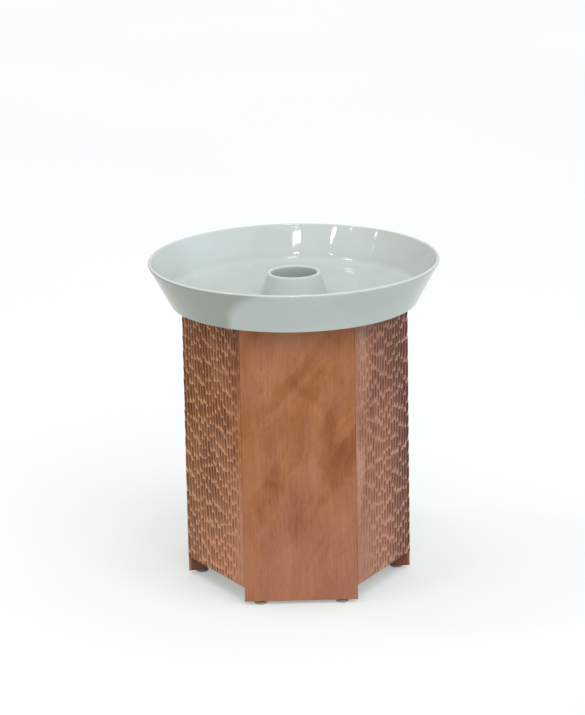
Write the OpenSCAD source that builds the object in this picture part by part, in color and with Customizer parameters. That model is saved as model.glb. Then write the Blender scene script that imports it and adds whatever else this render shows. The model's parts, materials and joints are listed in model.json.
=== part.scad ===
// Baptismal font: a glazed ceramic bowl with a central candle socket, loose on a
// hexagonal pedestal of mitred wooden panels. Three smooth panels reach the floor as
// legs and alternate with three shorter carved ones. Millimetres, +Z up, origin on
// the floor at the centre, the front leg panel towards -Y.

/* [Pedestal] */
// Side of the hexagon, which is also the outer width of each panel
side = 250; // [200:5:320]
// Length of a leg panel, from its foot to its top edge
leg_length = 626; // [450:2:900]
// Thickness of every panel
panel_t = 30; // [24:1:36]
// Height of a carved panel's lower edge above the foot of the legs
carved_raise = 33; // [20:1:70]
// Glue line in each mitre
glue_gap = 0.1; // [0.05:0.05:0.2]
// Small chamfer on the outer edge of each mitre
mitre_ease = 1.5; // [0.5:0.5:3]

/* [Corner splines] */
// Width of a spline across the mitre
spline_w = 20; // [14:1:24]
// Thickness of a spline
spline_t = 4; // [3:0.5:6]
// Clearance of a spline in its groove, on each face
spline_clear = 0.1; // [0.05:0.05:0.2]
// Length of panel left solid above and below a spline
spline_stop = 20; // [12:1:40]

/* [Boards and cleats] */
// Thickness of the top and bottom boards
board_t = 18; // [12:1:25]
// Gap between a board and the panels
board_clear = 0.5; // [0.2:0.1:1.5]
// Diameter of the vent hole in each board
vent_d = 60; // [30:5:70]
// Depth of the top board below the panels' top edges
well_depth = 17; // [15:1:30]
// Height of the lower cleats above the carved panels' lower edge
lower_cleat_rise = 25; // [10:1:60]
// Depth of a cleat, out from its panel
cleat_w = 25; // [18:1:32]
// Height of a cleat
cleat_h = 30; // [24:1:40]
// Distance from a cleat's inner corner to the nearest mitre's line
cleat_end_gap = 18; // [10:1:30]

/* [Screws] */
// Shank diameter of the wood screws
screw_d = 4; // [3:0.5:5]
// Head diameter of the wood screws
screw_head_d = 8; // [6:0.5:9]
// Clearance of a screw in its hole
screw_clear = 0.1; // [0.05:0.05:0.2]
// Wood left in a panel beyond the points of its cleats' screws
cleat_screw_skin = 10; // [6:1:14]
// Depth that a board's screws reach into the cleats
board_screw_bite = 20; // [14:1:22]

/* [Levelling feet] */
// Diameter of a foot's pad
pad_d = 28; // [22:1:32]
// Thickness of a foot's pad
pad_t = 5; // [4:0.5:8]
// Gap between the pads and the leg panels as the feet are set
foot_gap = 3; // [2.5:0.5:8]
// Diameter of a foot's stem
stem_d = 8; // [6:1:10]
// Length of stem above the pad
stem_l = 34; // [30:1:45]
// Width of the stem's flange, held inside the pad
stem_flange_w = 2.5; // [1.5:0.5:4]
// Thickness of that flange
stem_flange_t = 1.4; // [1:0.1:1.5]
// Thickness of the pad below that flange
pad_sole_t = 1.6; // [1:0.1:1.8]
// Radial clearance of the stem in its insert and in its pad
stem_clear = 0.05; // [0.02:0.01:0.1]
// Radial clearance of the stem in the wood above its insert
stem_bore_clear = 0.5; // [0.3:0.1:1]
// Wall of a threaded insert
insert_wall = 2; // [1.5:0.5:3]
// Length of a threaded insert
insert_l = 16; // [12:1:22]
// Width of a threaded insert's flange, out from its body
insert_flange_w = 2.5; // [1.5:0.5:3]
// Flange thickness of a threaded insert
insert_flange_t = 1.5; // [1:0.5:2.5]
// Distance of a foot from its panel's outer corner
foot_inset = 35; // [28:1:60]

/* [Bowl] */
// How far the bowl's lower edge stands out from the pedestal's corners
bowl_overhang = 25; // [5:1:40]
// How far the rim stands out from the lower edge
bowl_flare = 47; // [20:1:70]
// Height of the bowl above the face that it rests on
bowl_h = 94; // [80:1:130]
// Thickness of the flared wall, measured level
wall_t = 9.5; // [7:0.5:14]
// Thickness of the floor where it meets the wall
floor_edge_t = 16; // [13:0.5:24]
// Thickness of the floor beside the central boss
floor_mid_t = 12; // [10:0.5:18]
// Radius where the wall meets the floor inside
cove_r = 18; // [8:1:26]
// Height of the ring under the bowl
foot_ring_h = 12; // [6:1:12]
// Width of the ring under the bowl
foot_ring_w = 14; // [8:1:24]
// Gap between that ring and the panels
foot_ring_gap = 4.5; // [2:0.5:10]
// Diameter of the rest pads under the bowl
rest_pad_d = 20; // [12:1:24]
// Thickness of the rest pads under the bowl
rest_pad_t = 2.5; // [1.5:0.5:4]

/* [Candle socket] */
// Radius of the socket's straight bore
socket_r = 50.5; // [30:0.5:60]
// Depth of the top of the boss below the rim
boss_drop = 30; // [15:1:50]
// Width of the rounded lip round the socket
lip_w = 9.5; // [7:0.5:14]
// Widening of the boss from its lip down to the floor
boss_flare = 14; // [4:1:24]
// Radius where the boss meets the floor
boss_cove_r = 8; // [3:1:14]
// Depth of the socket's cup below the resting face
cup_drop = 10; // [0:1:10]
// Thickness of the cup's bottom
cup_floor_t = 12; // [8:1:16]
// Width of the relief groove under the boss
relief_w = 6; // [4:1:8]
// Depth of the relief groove above the resting face
relief_h = 16; // [8:1:18]

/* [Hidden] */
$fn = 96;
eps = 0.01;
corners = [0 : 5];
apothem = side * cos(30);
inner_apothem = apothem - panel_t;

leg_z = pad_t + foot_gap;
top_z = leg_z + leg_length;
carved_z = leg_z + carved_raise;
bowl_z = top_z + rest_pad_t;
rim_z = bowl_z + bowl_h;

board_apothem = inner_apothem - board_clear;
cleat_l = 2 * ((inner_apothem - cleat_w) * tan(30) - cleat_end_gap);
cleat_screw_x = cleat_l / 3;
top_board_z = top_z - well_depth - board_t;
upper_cleat_z = top_board_z - cleat_h;
lower_cleat_z = carved_z + lower_cleat_rise;
bottom_board_z = lower_cleat_z + cleat_h;

spline_z0 = carved_z + spline_stop;
spline_z1 = top_z - spline_stop;
mitre_depth = panel_t / cos(30);
spline_share = 0.62;
spline_r = side - spline_share * mitre_depth;

cleat_screw_l = cleat_w + panel_t - cleat_screw_skin;
board_screw_l = board_t + board_screw_bite;
screw_r = screw_d / 2;
screw_head_r = screw_head_d / 2;
screw_hole_r = screw_r + screw_clear;
screw_land = 0.3;
screw_cone_l = screw_head_r - screw_r;
screw_point_l = screw_d;
screw_tip_r = 0.2;
recess_w = screw_d * 0.25;
recess_l = screw_head_d * 0.55;
recess_h = screw_cone_l * 0.8;

foot_x = side / 2 - foot_inset;
foot_n = apothem - panel_t / 2;
stem_r = stem_d / 2;
stem_travel_gap = 1;
stem_hole_l = stem_l + stem_travel_gap;
stem_flange_r = stem_r + stem_flange_w;
stem_ease = 1;
pad_r = pad_d / 2;
pad_ease = 1.2;
insert_bore_r = stem_r + stem_clear;
insert_d = stem_d + 2 * insert_wall;
insert_flange_d = insert_d + 2 * insert_flange_w;
insert_hole_clear = 0.1;

base_r = side + bowl_overhang;
rim_r = base_r + bowl_flare;
rest_pad_n = apothem - panel_t / 2;
ring_outer_r = inner_apothem - foot_ring_gap;
ring_inner_r = ring_outer_r - foot_ring_w;
ring_ease = 3;
base_ease_r = 2.5;
cup_ease_r = 4;

// Panels in order round the hexagon from the front: smooth legs are even, carved odd.
panel_names = ["front_leg_panel", "right_carved_panel", "right_leg_panel",
               "rear_carved_panel", "left_leg_panel", "left_carved_panel"];
function names(stem) = [for (i = corners) str(stem, "_", i + 1)];

// ---------------------------------------------------------------- placing

// Turns a piece made on the front panel, facing -Y, round to panel i.
module on_panel(i) rotate([0, 0, 60 * i]) children();

// Puts a piece at foot i: two feet to each smooth panel.
module at_foot(i) on_panel(2 * floor(i / 2))
    translate([(i % 2 == 0 ? -1 : 1) * foot_x, -foot_n, 0]) children();

// ---------------------------------------------------------------- panels

// Plan of a mitred panel, with its outer face on y = -apothem.
module panel_plan() {
    outer = apothem * tan(30) - glue_gap / 2 / cos(30);
    inner = inner_apothem * tan(30) - glue_gap / 2 / cos(30);
    ease_n = mitre_ease / 2;
    polygon([
        [-outer + mitre_ease, -apothem], [outer - mitre_ease, -apothem],
        [outer - ease_n * tan(30), -apothem + ease_n],
        [inner, -inner_apothem], [-inner, -inner_apothem],
        [-outer + ease_n * tan(30), -apothem + ease_n]
    ]);
}

// Box that a corner spline fills, in the corner to the right of the front panel.
module spline_box(clear) rotate([0, 0, -60])
    translate([spline_r - spline_t / 2 - clear, -spline_w / 2 - clear, spline_z0])
        cube([spline_t + 2 * clear, spline_w + 2 * clear, spline_z1 - spline_z0]);

// Holes for the two screws of each cleat on the front panel.
module at_cleat_screws() for (z = [upper_cleat_z, lower_cleat_z], x = [-1, 1])
    translate([x * cleat_screw_x, -inner_apothem + cleat_w, z + cleat_h / 2])
        rotate([90, 0, 0]) children();

module panel_blank(z) difference() {
    translate([0, 0, z]) linear_extrude(top_z - z) panel_plan();
    spline_box(spline_clear);
    rotate([0, 0, -60]) spline_box(spline_clear);
    at_cleat_screws() cylinder(h = cleat_screw_l + screw_clear, r = screw_hole_r);
}

module leg_panel(i) color("peru") on_panel(i) difference() {
    panel_blank(leg_z);
    for (x = [-1, 1]) translate([x * foot_x, -foot_n, leg_z - eps]) {
        cylinder(h = stem_hole_l, r = stem_r + stem_bore_clear);
        cylinder(h = insert_l + eps, d = insert_d + insert_hole_clear);
        cylinder(h = insert_flange_t + eps, d = insert_flange_d + insert_hole_clear);
    }
}

module carved_panel(i) color("sienna") on_panel(i) panel_blank(carved_z);

module panel(i) if (i % 2 == 0) leg_panel(i); else carved_panel(i);

module corner_spline(i) color("burlywood") on_panel(i) spline_box(0);

// ---------------------------------------------------------------- boards and cleats

// Hexagonal board with a vent and a countersunk screw into the middle of each cleat.
module board(z) color("tan") difference() {
    translate([0, 0, z]) linear_extrude(board_t) circle(r = board_apothem / cos(30), $fn = 6);
    translate([0, 0, z - eps]) cylinder(h = board_t + 2 * eps, d = vent_d);
    at_board_screws(z) screw_hole(board_t);
}

module at_board_screws(z) for (i = corners) on_panel(i)
    translate([0, -inner_apothem + cleat_w / 2, z + board_t]) rotate([180, 0, 0]) children();

// Batten on the inside of panel i, with its lower face at z and a board above it.
module cleat(i, z) color("wheat") on_panel(i) difference() {
    translate([-cleat_l / 2, -inner_apothem, z]) cube([cleat_l, cleat_w, cleat_h]);
    for (x = [-1, 1]) translate([x * cleat_screw_x, -inner_apothem + cleat_w, z + cleat_h / 2])
        rotate([90, 0, 0]) screw_hole(cleat_w);
    translate([0, -inner_apothem + cleat_w / 2, z + cleat_h - (board_screw_l - board_t) - screw_clear])
        cylinder(h = board_screw_l, r = screw_hole_r);
}

// ---------------------------------------------------------------- screws

// Countersunk hole up from z = 0, through a piece of thickness t.
module screw_hole(t) {
    translate([0, 0, -eps]) cylinder(h = t + 2 * eps, r = screw_hole_r);
    translate([0, 0, -eps]) cylinder(h = screw_land + eps, r = screw_head_r + screw_clear);
    translate([0, 0, screw_land - eps])
        cylinder(h = screw_cone_l + eps, r1 = screw_head_r + screw_clear, r2 = screw_hole_r);
}

// Countersunk cross-head screw, its head flush with z = 0 and its point at z = length.
module wood_screw(length) difference() {
    rotate_extrude() polygon([
        [0, 0], [screw_head_r, 0], [screw_head_r, screw_land], [screw_r, screw_land + screw_cone_l],
        [screw_r, length - screw_point_l], [screw_tip_r, length], [0, length]
    ]);
    for (a = [0, 90]) rotate([0, 0, a])
        translate([-recess_l / 2, -recess_w / 2, -eps]) cube([recess_l, recess_w, recess_h]);
}

module cleat_screws() color("gold") for (i = corners) on_panel(i)
    at_cleat_screws() wood_screw(cleat_screw_l);

module board_screws() color("gold") for (z = [top_board_z, bottom_board_z])
    at_board_screws(z) wood_screw(board_screw_l);

// ---------------------------------------------------------------- levelling feet

module threaded_insert(i) color("darkgoldenrod") at_foot(i) difference() {
    union() {
        translate([0, 0, leg_z]) cylinder(h = insert_l, d = insert_d);
        translate([0, 0, leg_z]) cylinder(h = insert_flange_t, d = insert_flange_d);
    }
    translate([0, 0, leg_z - eps]) cylinder(h = insert_l + 2 * eps, r = insert_bore_r);
}

// Stem with a flange at its foot, which turns inside the pad.
module foot_stem(i) color("dimgray") at_foot(i) rotate_extrude() polygon([
    [0, pad_sole_t], [stem_flange_r, pad_sole_t], [stem_flange_r, pad_sole_t + stem_flange_t],
    [stem_r, pad_sole_t + stem_flange_t], [stem_r, pad_t + stem_l - stem_ease],
    [stem_r - stem_ease, pad_t + stem_l], [0, pad_t + stem_l]
]);

// Round pad, snapped over the stem's flange.
module foot_pad(i) color("gainsboro") at_foot(i) {
    flange_z = pad_sole_t + stem_flange_t + 2 * stem_clear;
    rotate_extrude() polygon([
        [0, 0], [pad_r - pad_ease, 0], [pad_r, pad_ease], [pad_r, pad_t - pad_ease],
        [pad_r - pad_ease, pad_t],
        [stem_r + stem_clear, pad_t], [stem_r + stem_clear, flange_z],
        [stem_flange_r + stem_clear, flange_z], [stem_flange_r + stem_clear, pad_sole_t],
        [0, pad_sole_t]
    ]);
}

// ---------------------------------------------------------------- bowl

module rest_pad(i) color("dimgray") on_panel(i)
    translate([0, -rest_pad_n, top_z]) cylinder(h = rest_pad_t, d = rest_pad_d);

// Points of an arc about c, from angle a0 to a1.
function arc(c, r, a0, a1, n = 8) =
    [for (k = [0 : n]) let (a = a0 + (a1 - a0) * k / n) c + r * [cos(a), sin(a)]];

// Half section of the bowl, heights from the face that it rests on.
module bowl_section() {
    lean = (rim_r - base_r) / bowl_h;
    lean_a = atan(lean);
    lip_r = wall_t / 2 * cos(lean_a);
    lip_c = [rim_r - lip_r, bowl_h - lip_r];
    // Inner face of the wall: x = wall_x(z).
    wall_off = lip_c[0] - lip_r * cos(lean_a) - lean * (lip_c[1] + lip_r * sin(lean_a));
    function wall_x(z) = wall_off + lean * z;
    // Cove between wall and floor, touching both.
    cove_z = floor_edge_t + cove_r;
    cove_x = wall_x(cove_z) - cove_r / cos(lean_a);
    boss_top = bowl_h - boss_drop;
    lip_top_r = lip_w / 2;
    lip_mid = socket_r + lip_top_r;
    flare_a = atan(boss_flare / (boss_top - lip_top_r - floor_mid_t));
    boss_foot_x = socket_r + lip_w + boss_flare;
    boss_cove_x = boss_foot_x + boss_cove_r / cos(flare_a) - boss_cove_r * tan(flare_a);
    cup_z = cup_floor_t - cup_drop;
    cup_r = socket_r + lip_w;
    polygon(concat(
        // underside, from the centre out
        [[0, -cup_drop], [cup_r - ring_ease, -cup_drop], [cup_r, ring_ease - cup_drop]],
        arc([cup_r + relief_w / 2, relief_h - relief_w / 2], relief_w / 2, 180, 0, 6),
        [[cup_r + relief_w, 0], [ring_inner_r, 0]],
        [[ring_inner_r + ring_ease / 2, ring_ease - foot_ring_h], [ring_inner_r + ring_ease, -foot_ring_h]],
        [[ring_outer_r - ring_ease, -foot_ring_h], [ring_outer_r, ring_ease - foot_ring_h]],
        [[ring_outer_r, 0]],
        // outer edge and flared wall, up to the rounded lip
        arc([base_r - base_ease_r, base_ease_r], base_ease_r, -90, -lean_a, 4),
        arc(lip_c, lip_r, -lean_a, 180 - lean_a, 12),
        // cove and floor
        arc([cove_x, cove_z], cove_r, -lean_a, -90, 8),
        // central boss, its lip and the socket
        arc([boss_cove_x, floor_mid_t + boss_cove_r], boss_cove_r, -90, -180 + flare_a, 6),
        arc([lip_mid, boss_top - lip_top_r], lip_top_r, flare_a, 180, 10),
        arc([socket_r - cup_ease_r, cup_z + cup_ease_r], cup_ease_r, 0, -90, 4),
        [[0, cup_z]]
    ));
}

module bowl() color("lightsteelblue") translate([0, 0, bowl_z])
    rotate_extrude($fn = 180) bowl_section();

// ---------------------------------------------------------------- nodes

bowl();
board(top_board_z);  // top_board
board(bottom_board_z);  // bottom_board
for (i = corners) {
    panel(i);
    corner_spline(i);
    cleat(i, upper_cleat_z);
    cleat(i, lower_cleat_z);
    rest_pad(i);
    threaded_insert(i);
    foot_stem(i);
    foot_pad(i);
}
cleat_screws();
board_screws();
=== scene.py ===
import json
import math

import bmesh
import bpy
import numpy as np
from mathutils import Matrix, Vector


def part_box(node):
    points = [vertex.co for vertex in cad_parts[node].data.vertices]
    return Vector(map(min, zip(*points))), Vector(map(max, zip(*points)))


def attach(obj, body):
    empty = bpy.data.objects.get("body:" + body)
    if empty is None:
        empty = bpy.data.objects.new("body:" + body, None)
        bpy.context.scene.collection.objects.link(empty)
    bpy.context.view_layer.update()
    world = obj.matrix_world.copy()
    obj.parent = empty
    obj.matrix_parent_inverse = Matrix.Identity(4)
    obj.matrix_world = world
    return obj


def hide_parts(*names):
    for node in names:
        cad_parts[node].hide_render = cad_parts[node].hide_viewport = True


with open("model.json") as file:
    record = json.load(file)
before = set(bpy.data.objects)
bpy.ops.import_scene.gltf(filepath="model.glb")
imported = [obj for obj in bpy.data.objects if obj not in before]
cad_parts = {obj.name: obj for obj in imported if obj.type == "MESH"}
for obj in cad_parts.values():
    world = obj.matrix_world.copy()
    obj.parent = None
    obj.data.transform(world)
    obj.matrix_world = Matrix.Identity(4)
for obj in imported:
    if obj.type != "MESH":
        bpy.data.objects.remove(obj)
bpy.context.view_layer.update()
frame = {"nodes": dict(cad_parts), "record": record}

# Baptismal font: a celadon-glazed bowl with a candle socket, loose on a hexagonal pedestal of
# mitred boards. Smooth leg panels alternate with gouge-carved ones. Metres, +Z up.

MM = 0.001
TURN = 2 * math.pi

# ---------------------------------------------------------------- sizes, from the frame

BODIES = {node: body for body, nodes in frame["record"]["behaviour"]["bodies"].items() for node in nodes}
BOWL_LOW, BOWL_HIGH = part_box("bowl")
FRONT_LOW, FRONT_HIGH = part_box("front_leg_panel")
APOTHEM = -FRONT_LOW.y
PANEL_T = FRONT_HIGH.y - FRONT_LOW.y
GLUE_GAP = 0.1 * MM
PANEL_TURNS = {
    "front_leg_panel": 0, "right_carved_panel": 60, "right_leg_panel": 120,
    "rear_carved_panel": 180, "left_leg_panel": 240, "left_carved_panel": 300,
}
CARVED_PANELS = [name for name in PANEL_TURNS if "carved" in name]
LEG_PANELS = [name for name in PANEL_TURNS if "leg" in name]
FEET = range(1, 7)


# ---------------------------------------------------------------- making pieces

def make_object(name, mesh, materials):
    """Links a new object for a mesh, with its materials in order."""
    piece = bpy.data.objects.new(name, mesh)
    bpy.context.scene.collection.objects.link(piece)
    for material in materials:
        mesh.materials.append(material)
    return piece


def stand_for(piece, node):
    """The piece rides on a CAD node's body and stands for that node, which is hidden."""
    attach(piece, BODIES[node])
    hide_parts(node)
    return piece


def arc(centre, radius, start, end, steps):
    """Points of an arc, its angles in degrees, both ends included."""
    angles = np.radians(np.linspace(start, end, steps + 1))
    return [(centre[0] + radius * math.cos(a), centre[1] + radius * math.sin(a)) for a in angles]


ON_AXIS = 0.001 * MM


def lathe(name, outline, segments, centre=(0, 0)):
    """Mesh of an outline of (radius, height) points turned about a vertical axis.

    The outline starts and ends on the axis, where a point becomes one vertex. Returns the
    mesh and, for each vertex, the index of its outline point.
    """
    verts, rings, source = [], [], []
    for index, (radius, height) in enumerate(outline):
        count = 1 if radius < ON_AXIS else segments
        rings.append(list(range(len(verts), len(verts) + count)))
        for k in range(count):
            a = TURN * k / segments
            verts.append((centre[0] + radius * math.cos(a), centre[1] + radius * math.sin(a), height))
            source.append(index)
    faces = []
    for low, high in zip(rings, rings[1:]):
        for k in range(segments):
            n = (k + 1) % segments
            corners = [low[k % len(low)], low[n % len(low)], high[n % len(high)], high[k % len(high)]]
            face = list(dict.fromkeys(corners))
            if len(face) > 2:
                faces.append(face)
    mesh = bpy.data.meshes.new(name)
    mesh.from_pydata(verts, [], faces)
    mesh.polygons.foreach_set("use_smooth", [True] * len(faces))
    mesh.update()
    return mesh, source


def set_point_values(mesh, name, values):
    """Stores one number for each vertex, for the materials to read."""
    mesh.attributes.new(name, "FLOAT", "POINT").data.foreach_set("value", np.asarray(values, np.float32))


# ---------------------------------------------------------------- materials

def srgb(red, green, blue):
    """Linear colour of 0 to 255 display values."""
    def linear(v):
        v /= 255
        return v / 12.92 if v <= 0.04045 else ((v + 0.055) / 1.055) ** 2.4
    return (linear(red), linear(green), linear(blue), 1.0)


class Shader:
    """A material whose nodes are added one call at a time."""

    def __init__(self, name, roughness=0.5, metallic=0.0, specular=0.5):
        self.material = bpy.data.materials.new(name)
        self.material.use_nodes = True
        self.tree = self.material.node_tree
        self.surface = self.tree.nodes["Principled BSDF"]
        self.surface.inputs["Roughness"].default_value = roughness
        self.surface.inputs["Metallic"].default_value = metallic
        self.surface.inputs["Specular IOR Level"].default_value = specular
        self.place = self.node("ShaderNodeTexCoord").outputs["Object"]

    def node(self, kind, **properties):
        made = self.tree.nodes.new(kind)
        for key, value in properties.items():
            setattr(made, key, value)
        return made

    def feed(self, socket, value):
        """Links an output to an input, or sets the input to a value."""
        if isinstance(value, bpy.types.NodeSocket):
            self.tree.links.new(value, socket)
        else:
            socket.default_value = value

    def math(self, operation, *values):
        made = self.node("ShaderNodeMath", operation=operation)
        for socket, value in zip(made.inputs, values):
            self.feed(socket, value)
        return made.outputs[0]

    def stretched(self, place, scale, turn=0.0, shift=(0, 0, 0)):
        """Coordinates turned about Z, in degrees, then scaled axis by axis and shifted."""
        turned = self.node("ShaderNodeVectorRotate", rotation_type="Z_AXIS")
        self.feed(turned.inputs["Vector"], place)
        turned.inputs["Angle"].default_value = math.radians(turn)
        mapped = self.node("ShaderNodeMapping")
        self.feed(mapped.inputs["Vector"], turned.outputs[0])
        mapped.inputs["Location"].default_value = shift
        mapped.inputs["Scale"].default_value = scale
        return mapped.outputs[0]

    def noise(self, place, scale=1.0, detail=3.0, roughness=0.5, distortion=0.0):
        made = self.node("ShaderNodeTexNoise")
        self.feed(made.inputs["Vector"], place)
        made.inputs["Scale"].default_value = scale
        made.inputs["Detail"].default_value = detail
        made.inputs["Roughness"].default_value = roughness
        made.inputs["Distortion"].default_value = distortion
        return made.outputs["Fac"]

    def cells(self, place, scale=1.0):
        made = self.node("ShaderNodeTexVoronoi")
        self.feed(made.inputs["Vector"], place)
        made.inputs["Scale"].default_value = scale
        return made.outputs["Distance"]

    def ramp(self, factor, *stops):
        """Colour ramp of (position, colour) stops."""
        made = self.node("ShaderNodeValToRGB")
        self.feed(made.inputs["Fac"], factor)
        elements = made.color_ramp.elements
        while len(elements) < len(stops):
            elements.new(1.0)
        for element, (position, colour) in zip(elements, stops):
            element.position = position
            element.color = colour
        return made.outputs["Color"]

    def span(self, value, low, high, to_low=0.0, to_high=1.0):
        """Value carried from one range to another, held at both ends."""
        made = self.node("ShaderNodeMapRange", clamp=True)
        for socket, number in zip(made.inputs, (value, low, high, to_low, to_high)):
            self.feed(socket, number)
        return made.outputs[0]

    def mix(self, factor, first, second):
        """Colour between two others, by a factor from 0 to 1."""
        made = self.node("ShaderNodeMix", data_type="RGBA")
        self.feed(made.inputs[0], factor)
        self.feed(made.inputs[6], first)
        self.feed(made.inputs[7], second)
        return made.outputs[2]

    def value_of(self, name):
        """Number that set_point_values stored in the mesh."""
        return self.node("ShaderNodeAttribute", attribute_name=name).outputs["Fac"]

    def split(self, place):
        """The X, Y and Z of coordinates."""
        made = self.node("ShaderNodeSeparateXYZ")
        self.feed(made.inputs[0], place)
        return made.outputs

    def bump(self, height, distance, strength):
        made = self.node("ShaderNodeBump")
        made.inputs["Distance"].default_value = distance
        made.inputs["Strength"].default_value = strength
        self.feed(made.inputs["Height"], height)
        return made.outputs[0]

    def finish(self, colour, roughness=None, normal=None):
        """Feeds the surface and returns the material."""
        for name, value in (("Base Color", colour), ("Roughness", roughness), ("Normal", normal)):
            if value is not None:
                self.feed(self.surface.inputs[name], value)
        return self.material


def glaze():
    """Celadon glaze: paler where it runs thin over edges, greener where it pools, and darker
    in the socket, where the pool value also paints the shade of the hole.

    The outer wall also carries painted shade: darker to the right, and a darker patch with a
    wandering edge on the left.
    """
    s = Shader("celadon_glaze", roughness=0.03)
    cloud = s.noise(s.stretched(s.place, (3.4, 3.4, 5.5), shift=(0.4, 0.2, 0)), detail=4.0, roughness=0.55,
                    distortion=0.5)
    body = s.ramp(cloud, (0.34, srgb(187, 193, 188)), (0.50, srgb(193, 201, 199)),
                  (0.68, srgb(197, 206, 206)))
    fine = s.noise(s.stretched(s.place, (160, 160, 160)), detail=2.0)
    body = s.mix(s.span(fine, 0.35, 0.7, 0.0, 0.07), body, srgb(166, 182, 174))
    # pooled glaze, and painted shade inside the socket
    body = s.mix(s.value_of("pool_and_shade"), body, srgb(152, 166, 154))
    body = s.mix(s.value_of("thin"), body, srgb(212, 218, 212))
    # painted shade on the outer wall, darker to the right
    outside = s.value_of("outside")
    across = s.split(s.place)["X"]
    outer_shade_right = s.span(across, 0.05, 0.30, 0.40, 0.58)
    body = s.mix(s.math("MULTIPLY", outside, outer_shade_right), body, srgb(146, 155, 148))
    # painted shade: a darker patch with a wandering edge on the left of the outer wall
    drift = s.noise(s.stretched(s.place, (5, 5, 16)), detail=0.0)
    outer_shade_edge = s.span(drift, 0.2, 0.8, 0.08, 0.20)
    outer_shade_patch = s.math("SUBTRACT", s.math("MULTIPLY", across, -1.0), outer_shade_edge)
    outer_shade_patch = s.math("MULTIPLY", s.span(outer_shade_patch, -0.01, 0.012, 0.0, 0.8), outside)
    body = s.mix(outer_shade_patch, body, srgb(136, 142, 130))
    speck = s.cells(s.place, scale=95.0)
    body = s.mix(s.span(speck, 0.02, 0.05, 0.15, 0.0), body, srgb(120, 128, 112))
    ripple = s.noise(s.stretched(s.place, (22, 22, 22)), detail=1.0)
    skin = s.bump(ripple, 0.05 * MM, 0.15)
    gloss = s.math("ADD", s.span(cloud, 0.3, 0.7, 0.015, 0.03), s.math("MULTIPLY", s.value_of("flat"), 0.36))
    return s.finish(body, gloss, skin)


def bare_clay():
    """Unglazed stoneware of the foot ring."""
    s = Shader("bare_clay", roughness=0.85)
    grain = s.noise(s.stretched(s.place, (420, 420, 420)), detail=4.0, roughness=0.7)
    tone = s.ramp(grain, (0.3, srgb(150, 128, 104)), (0.7, srgb(186, 168, 142)))
    speck = s.cells(s.place, scale=260.0)
    tone = s.mix(s.span(speck, 0.08, 0.16, 0.55, 0.0), tone, srgb(92, 70, 54))
    return s.finish(tone, normal=s.bump(grain, 0.3 * MM, 0.6))


PITH_X = 30 * MM
PITH_BEHIND = 245 * MM
PITH_LEAN = 0.12
RING_W = 10.5 * MM
ROSY_BELOW = 260 * MM
CUT_ROSY_BELOW = 420 * MM
CURL_LEAN = 30
SHADE_FROM = FRONT_HIGH.z - 58 * MM
SHADE_FADE = 50 * MM
INSIDE_SHADE_FROM = 4.2 * MM
INSIDE_SHADE_FULL = 6.0 * MM


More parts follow.
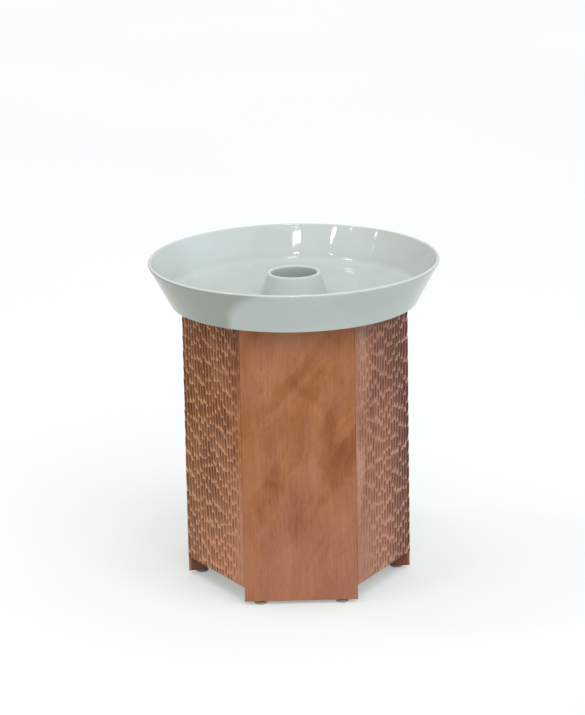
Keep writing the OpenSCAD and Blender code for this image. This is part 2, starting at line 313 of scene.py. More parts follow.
def board_wood(name, turn, seed, tones, cut=False, sap_edge=None, far_side=0, far_shade=0.0):
    """Oiled red-brown hardwood of one board: soft cathedral figure, fibres and open pores.

    turn brings the board's outer face to the front, where x runs across it and z along the
    grain. The rings are cylinders about a leaning pith line behind the board. sap_edge is
    where the paler wood of the left edge gives way, if there is any. Carved boards take
    painted shade, up to far_shade, towards the side named by far_side, and painted light
    from the floor turns them to the rose tone downwards.
    """
    pale, mid, deep, rose, line, fresh_and_lit = tones
    s = Shader(name, roughness=0.45, specular=0.14 if cut else 0.24)
    offset = 3.7 * seed
    board = s.stretched(s.place, (1, 1, 1), turn=-turn)
    x, y, z = s.split(board)
    # distance from the wandering pith, and broad bands of colour that follow the rings
    drift = s.noise(s.stretched(board, (5.5, 5.5, 2.6), shift=(offset, 0, seed)), detail=3.0, roughness=0.5)
    wander = s.noise(s.stretched(board, (24, 24, 4.0), shift=(0, offset, 0)), detail=3.0)
    across = s.math("SUBTRACT", x, PITH_X)
    across = s.math("ADD", across, s.span(drift, 0.3, 0.7, -0.055, 0.055))
    behind = s.math("ADD", s.math("MULTIPLY", z, PITH_LEAN), s.math("ADD", y, PITH_BEHIND))
    radius = s.math("SQRT", s.math("ADD", s.math("POWER", across, 2.0), s.math("POWER", behind, 2.0)))
    radius = s.math("ADD", radius, s.span(wander, 0.3, 0.7, -0.006, 0.006))
    bands = s.node("ShaderNodeCombineXYZ")
    s.feed(bands.inputs["X"], s.math("MULTIPLY", radius, 30.0))
    s.feed(bands.inputs["Y"], s.math("MULTIPLY", z, 2.4))
    bands.inputs["Z"].default_value = offset
    broad = s.noise(bands.outputs[0], detail=3.0, roughness=0.5)
    tone = s.ramp(broad, (0.32, deep), (0.46, mid), (0.66, pale))
    blotch = s.noise(s.stretched(board, (10, 10, 6.0), shift=(seed, offset, 0)), detail=4.0, roughness=0.6,
                     distortion=0.8)
    tone = s.mix(s.span(blotch, 0.45, 0.62, 0.0, 0.55), tone, rose)
    tone = s.mix(s.span(blotch, 0.30, 0.42, 0.50, 0.0), tone, deep)
    # the photo's boards are rosier low down, most on their right
    low = s.math("ADD", s.math("SUBTRACT", ROSY_BELOW, z), s.math("MULTIPLY", x, 0.7))
    tone = s.mix(s.span(low, 0.0, 0.2, 0.0, 0.62), tone, rose)
    if not cut:
        # curl: paler and darker leaning patches of planed wood
        leaning = s.node("ShaderNodeVectorRotate", rotation_type="Y_AXIS")
        s.feed(leaning.inputs["Vector"], board)
        leaning.inputs["Angle"].default_value = math.radians(-CURL_LEAN)
        curl_place = s.stretched(leaning.outputs[0], (13, 13, 4.2), shift=(offset, 0, 2 * seed))
        curl = s.noise(curl_place, detail=4.0, roughness=0.55, distortion=0.7)
        tone = s.mix(s.span(curl, 0.52, 0.58, 0.0, 0.34), tone, srgb(184, 124, 89))
        tone = s.mix(s.span(curl, 0.36, 0.46, 0.30, 0.0), tone, deep)
    if sap_edge is not None:
        inside = s.math("ADD", x, s.span(wander, 0.3, 0.7, -0.006, 0.006))
        tone = s.mix(s.span(inside, sap_edge, sap_edge + 0.012, 0.4, 0.0), tone, pale)
    # late wood darkens slowly across each ring and stops at a sharper edge
    ring = s.math("FRACT", s.math("MULTIPLY", radius, 1 / RING_W))
    late = s.math("POWER", ring, 4.0)
    tone = s.mix(s.math("MULTIPLY", late, s.span(wander, 0.4, 0.65, 0.0, 0.2)), tone, line)
    fibre = s.noise(s.stretched(board, (620, 620, 9), shift=(0, 0, offset)), detail=3.0, roughness=0.6)
    tone = s.mix(s.span(fibre, 0.36, 0.56, 0.2, 0.0), tone, line)
    tone = s.mix(s.span(fibre, 0.55, 0.75, 0.0, 0.2), tone, pale)
    fleck = s.noise(s.stretched(board, (260, 260, 38), shift=(offset, 0, 0)), detail=2.0)
    tone = s.mix(s.span(fleck, 0.66, 0.74, 0.0, 0.35), tone, pale)
    pore = s.noise(s.stretched(board, (1150, 1150, 60), shift=(offset, 0, 0)), detail=1.0)
    pores = s.span(pore, 0.62, 0.70, 0.0, 1.0)
    tone = s.mix(s.math("MULTIPLY", pores, 0.4), tone, line)
    # painted shade: a dark band on the wood just under the bowl
    band = 0.5 if cut else 0.2
    tone = s.mix(s.span(z, SHADE_FROM, SHADE_FROM + SHADE_FADE, 0.0, band), tone, line)
    # painted shade: the mitres and the inside are darker than the outer face
    depth = s.math("ADD", y, APOTHEM)
    tone = s.mix(s.span(depth, INSIDE_SHADE_FROM, INSIDE_SHADE_FULL, 0.0, 0.62), tone, line)
    if cut:
        # painted light from the floor: the carved boards turn paler and rosier downwards
        low = s.math("SUBTRACT", CUT_ROSY_BELOW, z)
        tone = s.mix(s.span(low, 0.0, 0.34, 0.0, 0.6), tone, rose)
        # painted shade towards the far edge of the carved board
        far = s.math("MULTIPLY", x, far_side)
        tone = s.mix(s.span(far, 0.01, 0.12, 0.0, far_shade), tone, line)
        # painted shade, with some oil, in the hollows of the cuts, most where they begin
        tone = s.mix(s.math("MULTIPLY", s.value_of("cut"), 0.7), tone, line)
        # paler bare wood and a painted highlight on the tips and ridges
        tone = s.mix(s.math("MULTIPLY", s.value_of("crest_and_highlight"), 0.8), tone, fresh_and_lit)
    height = s.math("SUBTRACT", s.math("MULTIPLY", fibre, 0.6), pores)
    shine = s.span(blotch, 0.3, 0.7, 0.4, 0.52)
    return s.finish(tone, shine, s.bump(height, 0.12 * MM, 0.6))


def plain_wood(name, tones, scale=(300, 300, 8)):
    """Sawn softwood or hardwood of the hidden pieces, its grain along the smallest scale."""
    light, dark = tones
    s = Shader(name, roughness=0.62)
    fibre = s.noise(s.stretched(s.place, scale), detail=4.0, roughness=0.65)
    band = s.noise(s.stretched(s.place, tuple(v / 6 for v in scale)), detail=2.0, distortion=0.6)
    tone = s.ramp(fibre, (0.3, dark), (0.65, light))
    tone = s.mix(s.span(band, 0.42, 0.6, 0.0, 0.5), tone, dark)
    return s.finish(tone, normal=s.bump(fibre, 0.15 * MM, 0.5))


PLY_T = 2.0 * MM


def plywood(name, low):
    """Plywood board: veneer grain on its faces and thin alternate plies round its edge."""
    s = Shader(name, roughness=0.6)
    fibre = s.noise(s.stretched(s.place, (9, 420, 420)), detail=4.0, roughness=0.6)
    figure = s.noise(s.stretched(s.place, (2.2, 26, 26)), detail=3.0, distortion=1.2)
    face = s.ramp(figure, (0.35, srgb(186, 150, 108)), (0.65, srgb(206, 174, 130)))
    face = s.mix(s.span(fibre, 0.35, 0.6, 0.35, 0.0), face, srgb(150, 112, 74))
    ply = s.math("PINGPONG", s.math("SUBTRACT", s.split(s.place)["Z"], low), PLY_T)
    edge = s.ramp(s.span(ply, 0.6 * MM, 1.4 * MM), (0.4, srgb(122, 88, 56)), (0.6, srgb(196, 162, 116)))
    edge = s.mix(s.span(fibre, 0.3, 0.7, 0.3, 0.0), edge, srgb(96, 66, 40))
    facing = s.split(s.node("ShaderNodeNewGeometry").outputs["True Normal"])
    flat = s.math("GREATER_THAN", s.math("ABSOLUTE", facing["Z"]), 0.5)
    return s.finish(s.mix(flat, edge, face), normal=s.bump(fibre, 0.12 * MM, 0.5))


def metal(name, bright, dull, roughness):
    """Turned or rolled metal with a faintly stained skin."""
    s = Shader(name, roughness=roughness, metallic=1.0)
    stain = s.noise(s.stretched(s.place, (260, 260, 260)), detail=4.0, roughness=0.6)
    tone = s.ramp(stain, (0.35, dull), (0.62, bright))
    return s.finish(tone, s.span(stain, 0.3, 0.7, roughness + 0.12, roughness - 0.05),
                    s.bump(stain, 0.05 * MM, 0.4))


def nylon():
    """Grey nylon of the foot pads, darker towards the floor."""
    s = Shader("pad_nylon", roughness=0.3)
    grain = s.noise(s.stretched(s.place, (900, 900, 900)), detail=2.0)
    tone = s.ramp(grain, (0.3, srgb(126, 124, 116)), (0.7, srgb(150, 148, 140)))
    tone = s.mix(s.span(s.split(s.place)["Z"], 0.0, 1.5 * MM, 0.6, 0.0), tone, srgb(84, 80, 74))
    return s.finish(tone, normal=s.bump(grain, 0.08 * MM, 0.4))


def rubber():
    """Dark rubber of the rest pads."""
    s = Shader("pad_rubber", roughness=0.8, specular=0.3)
    grain = s.noise(s.stretched(s.place, (700, 700, 700)), detail=3.0)
    tone = s.ramp(grain, (0.3, srgb(30, 30, 29)), (0.7, srgb(48, 47, 45)))
    return s.finish(tone, normal=s.bump(grain, 0.15 * MM, 0.6))


# ---------------------------------------------------------------- bowl

WALL_T = 9.5 * MM
FLOOR_EDGE_T = 16 * MM
FLOOR_MID_T = 12 * MM
COVE_R = 28 * MM
BASE_R = 275 * MM
BASE_EASE_R = 2.5 * MM
FOOT_RING_H = 12 * MM
FOOT_RING = (168 * MM, 182 * MM)
RING_EASE = 3 * MM
SOCKET_R = 50.5 * MM
BOSS_DROP = 30 * MM
LIP_W = 9.5 * MM
BOSS_FLARE = 14 * MM
BOSS_COVE_R = 8 * MM
CUP_DROP = 10 * MM
CUP_FLOOR_T = 12 * MM
CUP_EASE_R = 4 * MM
RELIEF_W = 6 * MM
RELIEF_H = 16 * MM
CORNER_R = 1.5 * MM
BARE_INSET = 4.5 * MM
RING_NICK = 1.0 * MM
BOWL_SEGMENTS = 288
FLOOR_FADE_POINTS = 16
SWAY_FROM = 230 * MM
SWAY_OVER = 50 * MM
SWAY = 0.0022
RIM_DIP = 0.5 * MM


def bowl_outline():
    """Outline of the bowl from its underside's centre round to its socket's centre.

    Gives (radius, height above the resting face, thin, pool, bare, outside, flat) for each
    point: thin glaze, pooled glaze with painted shade in the socket, bare clay, the outer wall,
    which takes painted shade, and the satin floor.
    """
    rim_r = BOWL_HIGH.x
    height = BOWL_HIGH.z - BOWL_LOW.z - FOOT_RING_H
    lean = (rim_r - BASE_R) / height
    lean_deg = math.degrees(math.atan(lean))
    lean_cos = math.cos(math.atan(lean))
    lip_r = WALL_T / 2 * lean_cos
    lip = (rim_r - lip_r, height - lip_r)
    inner_foot = lip[0] - lip_r / lean_cos - lean * lip[1]
    cove_z = FLOOR_EDGE_T + COVE_R
    cove = (inner_foot + lean * cove_z - COVE_R / lean_cos, cove_z)
    boss_top = height - BOSS_DROP
    boss_lip_r = LIP_W / 2
    flare = math.atan(BOSS_FLARE / (boss_top - boss_lip_r - FLOOR_MID_T))
    flare_deg = math.degrees(flare)
    boss_foot = SOCKET_R + LIP_W + BOSS_FLARE
    boss_cove = (boss_foot + BOSS_COVE_R / math.cos(flare) - BOSS_COVE_R * math.tan(flare),
                 FLOOR_MID_T + BOSS_COVE_R)
    cup_z = CUP_FLOOR_T - CUP_DROP
    cup_r = SOCKET_R + LIP_W
    ring_in, ring_out = FOOT_RING
    points = []

    def run(shape, thin=0.0, pool_and_shade=0.0, bare=0.0, outside=0.0, flat=0.0):
        points.extend((r, z, thin, pool_and_shade, bare, outside, flat) for r, z in shape)

    def between(a, b, steps):
        """Points strictly between two others, so that long faces stay short."""
        return [(a[0] + (b[0] - a[0]) * k / steps, a[1] + (b[1] - a[1]) * k / steps) for k in range(1, steps)]

    run([(0, -CUP_DROP)])
    run(arc((cup_r - RING_EASE, RING_EASE - CUP_DROP), RING_EASE, -90, 0, 6))
    run(arc((cup_r + RELIEF_W / 2, RELIEF_H - RELIEF_W / 2), RELIEF_W / 2, 180, 0, 10), pool_and_shade=0.6)
    groove_out = cup_r + RELIEF_W + CORNER_R
    run(arc((groove_out, CORNER_R), CORNER_R, 180, 270, 4))
    run(between((groove_out, 0), (ring_in - CORNER_R, 0), 10))
    run(arc((ring_in - CORNER_R, -CORNER_R), CORNER_R, 90, 0, 4), pool_and_shade=0.5)
    run(arc((ring_in + RING_EASE, RING_EASE - FOOT_RING_H), RING_EASE, 180, 270, 6), thin=0.4)
    run([(ring_in + BARE_INSET, -FOOT_RING_H), (ring_out - BARE_INSET, -FOOT_RING_H)], bare=1.0)
    run(arc((ring_out - RING_EASE, RING_EASE - FOOT_RING_H), RING_EASE, 270, 360, 6), thin=0.4)
    run([(ring_out, -RING_NICK), (ring_out + RING_NICK, 0)], pool_and_shade=0.5)
    run(between((ring_out + RING_NICK, 0), (BASE_R - BASE_EASE_R, 0), 8))
    base = arc((BASE_R - BASE_EASE_R, BASE_EASE_R), BASE_EASE_R, -90, -lean_deg, 8)
    run(base, thin=0.45, outside=1.0)
    outer_lip = arc(lip, lip_r, -lean_deg, 180 - lean_deg, 28)
    run(between(base[-1], outer_lip[0], 28), outside=1.0)
    run(outer_lip[:9], outside=1.0)
    run(outer_lip[9:20], thin=0.45)
    run(outer_lip[20:])
    cove_arc = arc(cove, COVE_R, -lean_deg, -90, 22)
    run(between(outer_lip[-1], cove_arc[0], 24))
    run(cove_arc, pool_and_shade=0.15)
    boss_cove_arc = arc(boss_cove, BOSS_COVE_R, -90, -180 + flare_deg, 14)
    for number, point in enumerate(between(cove_arc[-1], boss_cove_arc[0], 44)):
        share = min(1.0, (number + 1) / FLOOR_FADE_POINTS)
        run([point], pool_and_shade=0.15 + 0.25 * share, flat=share)
    run(boss_cove_arc, pool_and_shade=0.5)
    boss_lip = arc((SOCKET_R + boss_lip_r, boss_top - boss_lip_r), boss_lip_r, flare_deg, 180, 22)
    run(between(boss_cove_arc[-1], boss_lip[0], 12), pool_and_shade=0.2)
    run(boss_lip[:8])
    run(boss_lip[8:15], thin=0.2)
    run(boss_lip[15:])
    # in the socket the pool values paint the shade of the hole as well as pooled glaze
    cup_arc = arc((SOCKET_R - CUP_EASE_R, cup_z + CUP_EASE_R), CUP_EASE_R, 0, -90, 8)
    run(between(boss_lip[-1], cup_arc[0], 16), pool_and_shade=0.7)
    run(cup_arc, pool_and_shade=0.9)
    run(between(cup_arc[-1], (0, cup_z), 8), pool_and_shade=0.4)
    run([(0, cup_z)], pool_and_shade=0.4)
    return points


def soften(values, passes=6):
    """Blurs a row of values, so that thin and pooled glaze fade along the outline."""
    values = np.array(values, float)
    for _ in range(passes):
        values = (np.roll(values, 1) + 2 * values + np.roll(values, -1)) / 4
    return values


def make_bowl():
    """The turned bowl, with its glaze values, a slight sway and bare clay on its foot ring."""
    outline = bowl_outline()
    rest_z = BOWL_LOW.z + FOOT_RING_H
    mesh, source = lathe("bowl_glazed", [(r, z + rest_z) for r, z, *_ in outline], BOWL_SEGMENTS)
    values = np.array(outline)
    source = np.array(source)
    set_point_values(mesh, "thin", soften(values[:, 2])[source])
    set_point_values(mesh, "pool_and_shade", soften(values[:, 3])[source])
    set_point_values(mesh, "outside", soften(values[:, 5], 3)[source])
    set_point_values(mesh, "flat", soften(values[:, 6], 3)[source])
    # the hand of the maker: the flared wall is out of round by parts of a millimetre, inwards
    co = np.zeros(len(mesh.vertices) * 3, np.float32)
    mesh.vertices.foreach_get("co", co)
    co = co.reshape(-1, 3)
    around = np.arctan2(co[:, 1], co[:, 0])
    rise = np.clip((co[:, 2] - rest_z) / (BOWL_HIGH.z - rest_z), 0, 1)
    outer = np.clip((np.hypot(co[:, 0], co[:, 1]) - SWAY_FROM) / SWAY_OVER, 0, 1)
    sway = (2 + np.sin(3 * around + 0.7) + np.sin(5 * around + 2.1)) / 4
    co[:, :2] *= (1 - SWAY * sway * rise * outer)[:, None]
    co[:, 2] -= (RIM_DIP * (1 + np.sin(2 * around + 1.3)) / 2 * rise * outer).astype(np.float32)
    mesh.vertices.foreach_set("co", co.ravel())
    bare_point = values[:, 4] > 0.5
    bowl = make_object("bowl_glazed", mesh, [MATERIALS["glaze"], MATERIALS["bare_clay"]])
    for face in mesh.polygons:
        if all(bare_point[source[v]] for v in face.vertices):
            face.material_index = 1
    return stand_for(bowl, "bowl")


# ---------------------------------------------------------------- carved panels

SCOOP_PITCH = 12.4 * MM
SCOOP_LENGTH = 35 * MM
SCOOP_DEPTH = 3.6 * MM
GOUGE_R = 6.6 * MM
DEEPEST_AT = 0.76
SCOOP_OVERLAP = 1.20
ENTRY = 0.34
TIP_FROM = 0.68
GRID_X = 1.15 * MM
GRID_Z = 1.5 * MM
# waves that shift the cuts along a row: height in cuts, columns to a wave, change by row
ROW_WAVES = ((0.52, 9.5, 0.4), (0.22, 4.6, -0.9))
ROW_JITTER = 0.13
COLUMN_JITTER = 0.8 * MM
SLANT = 0.005
LENGTH_VARIES = (0.86, 1.14)
DEPTH_VARIES = (0.78, 1.08)
BRIGHT_VARIES = (0.7, 1)
# beside the front leg: share of a full cut, and how low down, how far across and how much it fades
PANEL_HALF_W = 125 * MM
CALM_EDGE = 8 * MM
CALM_CUT = 0.22
FADE_FROM, FADE_OVER = 400 * MM, 190 * MM
FADE_ACROSS = 170 * MM
FADE = 0.62
CREST_BESIDE = 3.4 * MM


def scoop_field(width, height, seed, strength):
    """Depth of the gouge cuts over a board, and how bright the steep tips where they end are
    painted: paler bare wood with a painted highlight.

    The cuts stand in columns and run down the board, each entering gently and leaving
    steeply. Along a row they shift by a slow wave, so their tips line up in a wavy band
    whose shape drifts from row to row. Returns x, z (down from the top), depth, tip and
    how far along its cut each point is.
    """
    random = np.random.default_rng(seed)
    xs = np.linspace(-width / 2, width / 2, round(width / GRID_X) + 1)
    zs = np.linspace(0, height, round(height / GRID_Z) + 1)
    depth, tip, along = (np.zeros((len(zs), len(xs))) for _ in range(3))
    columns = round(width / SCOOP_PITCH)
    pitch = width / columns
    middles = [-width / 2 + (c + 0.5) * pitch + random.uniform(-1, 1) * COLUMN_JITTER
               for c in range(columns)]
    slants = random.uniform(-SLANT, SLANT, columns)
    phases = random.uniform(0, TURN, 2)
    top = -2.2 * SCOOP_LENGTH
    row = 0
    while top < height + SCOOP_LENGTH:
        row_length = SCOOP_LENGTH * random.uniform(*LENGTH_VARIES)
        for column, middle in enumerate(middles):
            wave = ROW_JITTER * random.uniform(-1, 1)
            for phase, (swing, columns_long, change) in zip(phases, ROW_WAVES):
                wave += swing * math.sin(TURN * column / columns_long + phase + change * row)
            start = top + wave * SCOOP_LENGTH
            deepest = SCOOP_DEPTH * random.uniform(*DEPTH_VARIES)
            t = (zs - start) / (row_length * SCOOP_OVERLAP)
            rows = np.where((t >= 0) & (t <= 1))[0]
            if not len(rows):
                continue
            near = np.where(np.abs(xs - middle) < pitch)[0]
            tt = t[rows]
            enter = ENTRY + (1 - ENTRY) * np.clip(tt / DEEPEST_AT, 0, 1)
            leave = 1 - np.clip((tt - DEEPEST_AT) / (1 - DEEPEST_AT), 0, 1) ** 2
            line = middle + slants[column] * (zs[rows] - height / 2)
            off = xs[near][None, :] - line[:, None]
            amount = strength(xs[near][None, :], zs[rows][:, None])
            cut = deepest * (enter * leave)[:, None] * amount - off ** 2 / (2 * GOUGE_R)
            rising = np.clip((tt - DEEPEST_AT + 0.08) / 0.12, 0, 1)[:, None]
            shallow = np.clip((TIP_FROM - cut / deepest) / 0.22, 0, 1)
            bright = rising * shallow * random.uniform(*BRIGHT_VARIES)
            block = np.ix_(rows, near)
            deeper = cut > depth[block]
            depth[block] = np.where(deeper, cut, depth[block])
            tip[block] = np.where(deeper, bright * amount, tip[block])
            along[block] = np.where(deeper, np.broadcast_to(tt[:, None], cut.shape), along[block])
        top += row_length
        row += 1
    return xs, zs, depth, tip, along


def carving_strength(calm_side, reach):
    """How strongly a board is cut: light beside the front leg, fuller up to the reach.

    Low down beside the front leg the cuts fade further. With no calm side, all are full.
    """
    def strength(x, z):
        if calm_side == 0:
            return np.ones_like(x + z)
        from_edge = PANEL_HALF_W - calm_side * x
        side = np.clip((from_edge - CALM_EDGE) / reach, 0, 1)
        low = np.clip((z - FADE_FROM) / FADE_OVER, 0, 1) * np.clip(1 - from_edge / FADE_ACROSS, 0, 1)
        return (CALM_CUT + (1 - CALM_CUT) * side ** 0.8) * (1 - FADE * low)
    return strength


def make_carved_panel(node, seed, calm_side, reach=60 * MM):
    """A mitred board with a carved outer face and flat back, closed all round."""
    low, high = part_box(node)
    width, height = FRONT_HIGH.x - FRONT_LOW.x, high.z - low.z
    xs, zs, depth, tip, along = scoop_field(width, height, seed, carving_strength(calm_side, reach))
    slope = math.tan(math.radians(30))
    gap = GLUE_GAP / 2 / math.cos(math.radians(30))
    rows, cols = depth.shape
    across = xs / (width / 2)
    front_n = APOTHEM - depth
    front_x = across[None, :] * (front_n * slope - gap)
    front_z = np.broadcast_to(high.z - zs[:, None], depth.shape)
    front = np.stack([front_x, -front_n, front_z], -1).reshape(-1, 3)
    index = np.arange(rows * cols).reshape(rows, cols)
    border = np.concatenate([index[0, :-1], index[:-1, -1], index[-1, :0:-1], index[:0:-1, 0]])
    back_n = APOTHEM - PANEL_T
    back = front[border].copy()
    back[:, 0] = across[border % cols] * (back_n * slope - gap)
    back[:, 1] = -back_n
    back_index = np.arange(len(border)) + len(front)
    quads = np.stack([index[:-1, :-1], index[1:, :-1], index[1:, 1:], index[:-1, 1:]], -1).reshape(-1, 4)
    sides = np.stack([border, np.roll(border, -1), np.roll(back_index, -1), back_index], -1)
    faces = quads.tolist() + sides.tolist() + [back_index[::-1].tolist()]
    mesh = bpy.data.meshes.new(node + "_gouged")
    mesh.from_pydata(np.concatenate([front, back]).tolist(), [], faces)
    smooth = np.zeros(len(faces), bool)
    smooth[:len(quads)] = True
    mesh.polygons.foreach_set("use_smooth", smooth)
    # cut: darker in the hollows, most where they begin, partly oil and partly painted shade.
    # crest: paler tips and ridges, partly bare wood and partly painted highlight
    beside = round(CREST_BESIDE / GRID_X)
    wide = np.pad(depth, ((0, 0), (beside, beside)), "edge")
    hollow = (wide[:, :-2 * beside] + wide[:, 2 * beside:]) / 2
    ridge = np.clip((hollow - depth - 0.2 * MM) / (0.8 * MM), 0, 1)
    crest_and_highlight = np.maximum(ridge * 0.35, tip)
    cut = np.clip(depth / (1.0 * MM), 0, 1) * np.clip(1.15 - 1.2 * along, 0.15, 1) * (1 - crest_and_highlight)
    none = np.zeros(len(back))
    set_point_values(mesh, "cut", np.concatenate([cut.ravel(), none]))
    set_point_values(mesh, "crest_and_highlight", np.concatenate([crest_and_highlight.ravel(), none]))
    mesh.transform(Matrix.Rotation(math.radians(PANEL_TURNS[node]), 4, "Z"))
    mesh.update()
    bm = bmesh.new()
    bm.from_mesh(mesh)
    bmesh.ops.recalc_face_normals(bm, faces=bm.faces)
    bm.to_mesh(mesh)
    bm.free()
    piece = make_object(node + "_gouged", mesh, [MATERIALS[node]])
    return stand_for(piece, node)


# ---------------------------------------------------------------- feet

THREAD_PITCH = 1.25 * MM
THREAD_DEPTH = 0.65 * MM
THREAD_STEPS = 8
STEM_SEGMENTS = 24


def make_stem(node):
    """Threaded stem: a helical ridge cut into the plain one, above its flange."""
    low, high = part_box(node)
    centre = ((low.x + high.x) / 2, (low.y + high.y) / 2)
    flange_r = (high.x - low.x) / 2
    stem_r = 4.0 * MM
    flange_t = 1.4 * MM
    ease = 0.3 * MM
    flange = [(0, low.z), (flange_r - ease, low.z), (flange_r, low.z + ease),
              (flange_r, low.z + flange_t - ease), (flange_r - ease, low.z + flange_t)]
    shank_z = low.z + flange_t
    count = round((high.z - 1.0 * MM - shank_z) / THREAD_PITCH * THREAD_STEPS)
    heights = [shank_z + k * THREAD_PITCH / THREAD_STEPS for k in range(count + 1)]
    outline = flange + [(stem_r, z) for z in heights]
    outline += [(stem_r - 1.0 * MM, high.z), (0, high.z)]
    mesh, source = lathe(node + "_threaded", outline, STEM_SEGMENTS, centre)
    first, last = len(flange), len(flange) + count
    for vertex, index in zip(mesh.vertices, source):
        if first <= index <= last:
            arm = Vector((vertex.co.x - centre[0], vertex.co.y - centre[1]))
            turn = math.atan2(arm.y, arm.x) / TURN
            phase = ((vertex.co.z - shank_z) / THREAD_PITCH - turn) % 1.0
            ends = min(1.0, (index - first) / THREAD_STEPS, (last - index) / THREAD_STEPS)
            valley = (1 - abs(2 * phase - 1)) * THREAD_DEPTH * ends
            arm *= (stem_r - valley) / stem_r
            vertex.co.x, vertex.co.y = centre[0] + arm.x, centre[1] + arm.y
    mesh.update()
    return stand_for(make_object(node + "_threaded", mesh, [MATERIALS["stem_steel"]]), node)


def make_foot_pad(node):
    """Moulded pad: rounded rim, a shallow ring on top and the pocket that holds the stem."""
    low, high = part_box(node)
    centre = ((low.x + high.x) / 2, (low.y + high.y) / 2)
    radius, top = (high.x - low.x) / 2, high.z
    sole, pocket_z = 1.6 * MM, 3.1 * MM
    pocket_r, neck_r = 6.55 * MM, 4.05 * MM
    round_r = 1.2 * MM
    ring_deep, ring_slope, neck_ease = 0.5 * MM, 0.2 * MM, 0.4 * MM
    ring_out, ring_in = 10.2 * MM, 8.2 * MM
    outline = [(0, low.z)]
    outline += arc((radius - round_r, low.z + round_r), round_r, -90, 0, 6)
    outline += arc((radius - round_r, top - round_r), round_r, 0, 90, 6)
    outline += [(ring_out, top), (ring_out - ring_slope, top - ring_deep),
                (ring_in + ring_slope, top - ring_deep), (ring_in, top)]
    outline += arc((neck_r + neck_ease, top - neck_ease), neck_ease, 90, 180, 3)
    outline += [(neck_r, pocket_z), (pocket_r, pocket_z), (pocket_r, sole), (0, sole)]
    mesh, _ = lathe(node + "_moulded", outline, 48, centre)
    return stand_for(make_object(node + "_moulded", mesh, [MATERIALS["nylon"]]), node)


# ---------------------------------------------------------------- carried CAD nodes

def dress(node, material, ease=0.0):
    """Gives a CAD node its material, and eases its edges where it is sawn or moulded."""
    piece = frame["nodes"][node]
    piece.data.materials.clear()
    piece.data.materials.append(material)
    if ease:
        weld = piece.modifiers.new("joined", "WELD")
        weld.merge_threshold = 0.01 * MM
        bevel = piece.modifiers.new("eased", "BEVEL")
        bevel.width = ease
        bevel.segments = 2
        bevel.limit_method = "ANGLE"
        bevel.angle_limit = math.radians(35)
        bevel.use_clamp_overlap = True


# ---------------------------------------------------------------- studio

CAMERA_AT = (-0.115, -7.565, 2.6735)
CAMERA_TURN = -0.82
CAMERA_DOWN = 16.01
CAMERA_ROLL = -1.11
CAMERA_LENS = 178.4


def make_camera():
    """Camera fitted to the photo by the hexagon, the leg ends and the rim."""
    data = bpy.data.cameras.new("camera")
    data.lens = CAMERA_LENS
    data.sensor_width = 36
    data.clip_end = 100
    camera = bpy.data.objects.new("camera", data)
    bpy.context.scene.collection.objects.link(camera)
    turn, down, roll = (math.radians(v) for v in (CAMERA_TURN, 90 - CAMERA_DOWN, CAMERA_ROLL))
    camera.matrix_world = (
        Matrix.Translation(CAMERA_AT) @ Matrix.Rotation(turn, 4, "Z")
        @ Matrix.Rotation(down, 4, "X") @ Matrix.Rotation(roll, 4, "Z")
    )
    bpy.context.scene.camera = camera


# ceiling lamps seen in the glaze: place, width and height
CEILING_LAMPS = (
    ((-0.203, -2.491, 2.962), (0.34, 0.035)),
    ((-1.727, -1.959, 2.846), (0.20, 0.035)),
    ((0.039, -0.514, 3.342), (0.34, 0.16)),
    ((-1.276, 0.049, 3.088), (0.30, 0.16)),
    ((-2.740, -0.348, 2.355), (0.05, 0.012)),
    ((-2.740, -0.348, 2.300), (0.035, 0.010)),
    ((-0.077, -2.476, 3.000), (0.30, 0.007)),
    ((-2.319, -1.406, 2.745), (0.22, 0.007)),
)
LAMP_RADIANCE = 32.0
KEY_AZIMUTH = -66
KEY_ELEVATION = 46
KEY_STRENGTH = 1.0
KEY_SPREAD = 50
# room light at the horizon to the left and to the right, and overhead
LEFT_LIGHT = (0.30, 0.29, 0.26, 1)
RIGHT_LIGHT = (0.88, 0.92, 0.95, 1)
ZENITH_LIGHT = (0.89, 0.90, 0.90, 1)
ZENITH_FROM = 0.45
WARM_TINT = (1.0, 0.945, 0.89, 1)
COOL_TINT = (0.97, 1.0, 1.02, 1)
FLOOR_TONE = 0.60
FLOOR_GLOW = 0.33
FLOOR_GLOW_TINT = (0.90, 1.0, 1.02, 1)


def aimed(place, target):
    """Matrix that puts a lamp at a place with its beam towards the target."""
    out = Vector(place) - Vector(target)
    return Matrix.Translation(place) @ out.to_track_quat("Z", "Y").to_matrix().to_4x4()


def make_lamps():
    """Small ceiling lamps that the glaze reflects, and a broad key light that it doesn't."""
    bowl_middle = (0, 0, (BOWL_LOW.z + BOWL_HIGH.z) / 2)
    for number, (place, size) in enumerate(CEILING_LAMPS):
        data = bpy.data.lights.new(f"ceiling_{number}", "AREA")
        data.shape = "RECTANGLE"
        data.size, data.size_y = size
        data.energy = LAMP_RADIANCE * math.pi * size[0] * size[1]
        lamp = bpy.data.objects.new(data.name, data)
        bpy.context.scene.collection.objects.link(lamp)
        lamp.matrix_world = aimed(place, bowl_middle)
    data = bpy.data.lights.new("key", "SUN")
    data.energy = KEY_STRENGTH
    data.angle = math.radians(KEY_SPREAD)
    key = bpy.data.objects.new("key", data)
    bpy.context.scene.collection.objects.link(key)
    a, e = math.radians(KEY_AZIMUTH), math.radians(KEY_ELEVATION)
    beam = Vector((math.cos(a) * math.cos(e), math.sin(a) * math.cos(e), math.sin(e)))
    key.matrix_world = aimed(4 * beam, (0, 0, 0))
    key.visible_glossy = False


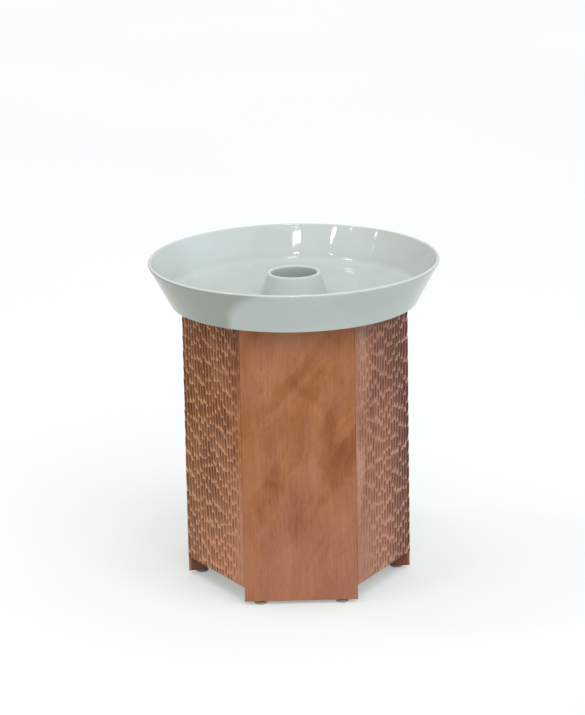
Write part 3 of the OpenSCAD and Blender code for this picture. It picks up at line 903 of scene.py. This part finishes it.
def make_world():
    """Soft room light: cool from the right, dimmer and warmer from the low left."""
    world = bpy.data.worlds.new("studio")
    bpy.context.scene.world = world
    world.use_nodes = True
    tree = world.node_tree
    background = tree.nodes["Background"]
    place = tree.nodes.new("ShaderNodeTexCoord")
    split = tree.nodes.new("ShaderNodeSeparateXYZ")
    side = tree.nodes.new("ShaderNodeMapRange")
    side.inputs["From Min"].default_value = -1
    rise = tree.nodes.new("ShaderNodeMapRange")
    rise.inputs["From Max"].default_value = ZENITH_FROM
    horizon = tree.nodes.new("ShaderNodeMix")
    whole = tree.nodes.new("ShaderNodeMix")
    horizon.data_type = whole.data_type = "RGBA"
    horizon.inputs[6].default_value = LEFT_LIGHT
    horizon.inputs[7].default_value = RIGHT_LIGHT
    whole.inputs[7].default_value = ZENITH_LIGHT
    link = tree.links.new
    link(place.outputs["Generated"], split.inputs[0])
    link(split.outputs["X"], side.inputs["Value"])
    link(split.outputs["Z"], rise.inputs["Value"])
    link(side.outputs[0], horizon.inputs[0])
    link(rise.outputs[0], whole.inputs[0])
    link(horizon.outputs[2], whole.inputs[6])
    tint = tree.nodes.new("ShaderNodeMix")
    tinted = tree.nodes.new("ShaderNodeMix")
    tint.data_type = tinted.data_type = "RGBA"
    tint.inputs[6].default_value = WARM_TINT
    tint.inputs[7].default_value = COOL_TINT
    tinted.blend_type = "MULTIPLY"
    tinted.inputs[0].default_value = 1.0
    link(side.outputs[0], tint.inputs[0])
    link(whole.outputs[2], tinted.inputs[6])
    link(tint.outputs[2], tinted.inputs[7])
    link(tinted.outputs[2], background.inputs["Color"])


def make_floor():
    """Plain pale floor that glows a little, as the photo's bright ground does."""
    reach = 30.0
    mesh = bpy.data.meshes.new("floor")
    mesh.from_pydata([(-reach, -reach, 0), (reach, -reach, 0), (reach, reach, 0), (-reach, reach, 0)],
                     [], [(0, 1, 2, 3)])
    s = Shader("pale_floor", roughness=0.9, specular=0.0)
    cloud = s.noise(s.stretched(s.place, (0.7, 0.7, 0.7)), detail=2.0)
    dark, light = (FLOOR_TONE - 0.01,) * 3 + (1,), (FLOOR_TONE + 0.01,) * 3 + (1,)
    s.surface.inputs["Emission Color"].default_value = FLOOR_GLOW_TINT
    s.surface.inputs["Emission Strength"].default_value = FLOOR_GLOW
    make_object("floor", mesh, [s.finish(s.ramp(cloud, (0.3, dark), (0.7, light)))])


# ---------------------------------------------------------------- the font

# pale, middle, deep, rose, line and freshly cut tones of the wood; the freshly cut tone also
# paints a highlight. The left and right carved boards take lit and shaded copies of the tones:
# painted light and shade, as the light differs from side to side
RED_BROWN = (srgb(169, 110, 67), srgb(146, 86, 46), srgb(120, 65, 32),
             srgb(166, 112, 91), srgb(88, 45, 26), srgb(190, 134, 96))
LEFT_BROWN = (srgb(176, 110, 58), srgb(134, 69, 27), srgb(110, 53, 18),
              srgb(188, 130, 98), srgb(56, 22, 6), srgb(222, 170, 132))
RIGHT_BROWN = (srgb(190, 138, 111), srgb(154, 99, 74), srgb(126, 76, 59),
               srgb(167, 115, 93), srgb(58, 27, 24), srgb(206, 160, 138))
SAP_EDGE = -0.1
SAWN_EASE = 0.8 * MM
PLY_EASE = 0.5 * MM
PAD_EASE = 0.4 * MM
SPLINE_EASE = 0.3 * MM
MATERIALS = {
    "glaze": glaze(),
    "bare_clay": bare_clay(),
    "stem_steel": metal("stem_steel", srgb(128, 128, 130), srgb(84, 84, 86), 0.38),
    "insert_brass": metal("insert_brass", srgb(206, 170, 96), srgb(150, 116, 62), 0.3),
    "screw_steel": metal("screw_steel", srgb(208, 190, 138), srgb(158, 140, 96), 0.32),
    "nylon": nylon(),
    "rubber": rubber(),
    "spline_wood": plain_wood("spline_wood", (srgb(196, 150, 104), srgb(140, 96, 62))),
    "cleat_wood": plain_wood("cleat_wood", (srgb(214, 180, 132), srgb(168, 128, 84)), (60, 60, 420)),
    "top_board": plywood("top_board_plywood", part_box("top_board")[0].z),
    "bottom_board": plywood("bottom_board_plywood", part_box("bottom_board")[0].z),
}
for number, (panel, turn) in enumerate(PANEL_TURNS.items()):
    carved = panel in CARVED_PANELS
    tones = RED_BROWN
    if carved:
        tones = RIGHT_BROWN if panel == "right_carved_panel" else LEFT_BROWN
    MATERIALS[panel] = board_wood(
        panel + "_wood", turn, number + 1, tones, cut=carved,
        sap_edge=SAP_EDGE if panel == "front_leg_panel" else None,
        far_side={"left_carved_panel": -1, "right_carved_panel": 1}.get(panel, 0),
        far_shade=0.8 if panel == "right_carved_panel" else 0.3,
    )

make_bowl()
make_carved_panel("left_carved_panel", seed=11, calm_side=1)
make_carved_panel("right_carved_panel", seed=23, calm_side=-1, reach=230 * MM)
make_carved_panel("rear_carved_panel", seed=37, calm_side=0)
for panel in LEG_PANELS:
    dress(panel, MATERIALS[panel], ease=SAWN_EASE)
for board in ("top_board", "bottom_board"):
    dress(board, MATERIALS[board], ease=PLY_EASE)
for number in FEET:
    make_stem(f"foot_stem_{number}")
    make_foot_pad(f"foot_pad_{number}")
    dress(f"threaded_insert_{number}", MATERIALS["insert_brass"])
    dress(f"rest_pad_{number}", MATERIALS["rubber"], ease=PAD_EASE)
    dress(f"corner_spline_{number}", MATERIALS["spline_wood"], ease=SPLINE_EASE)
    dress(f"upper_cleat_{number}", MATERIALS["cleat_wood"], ease=SAWN_EASE)
    dress(f"lower_cleat_{number}", MATERIALS["cleat_wood"], ease=SAWN_EASE)
for screws in ("cleat_screws", "board_screws"):
    dress(screws, MATERIALS["screw_steel"])

make_world()
make_lamps()
make_floor()
make_camera()
bpy.context.scene.view_settings.view_transform = "Standard"

bpy.context.view_layer.update()
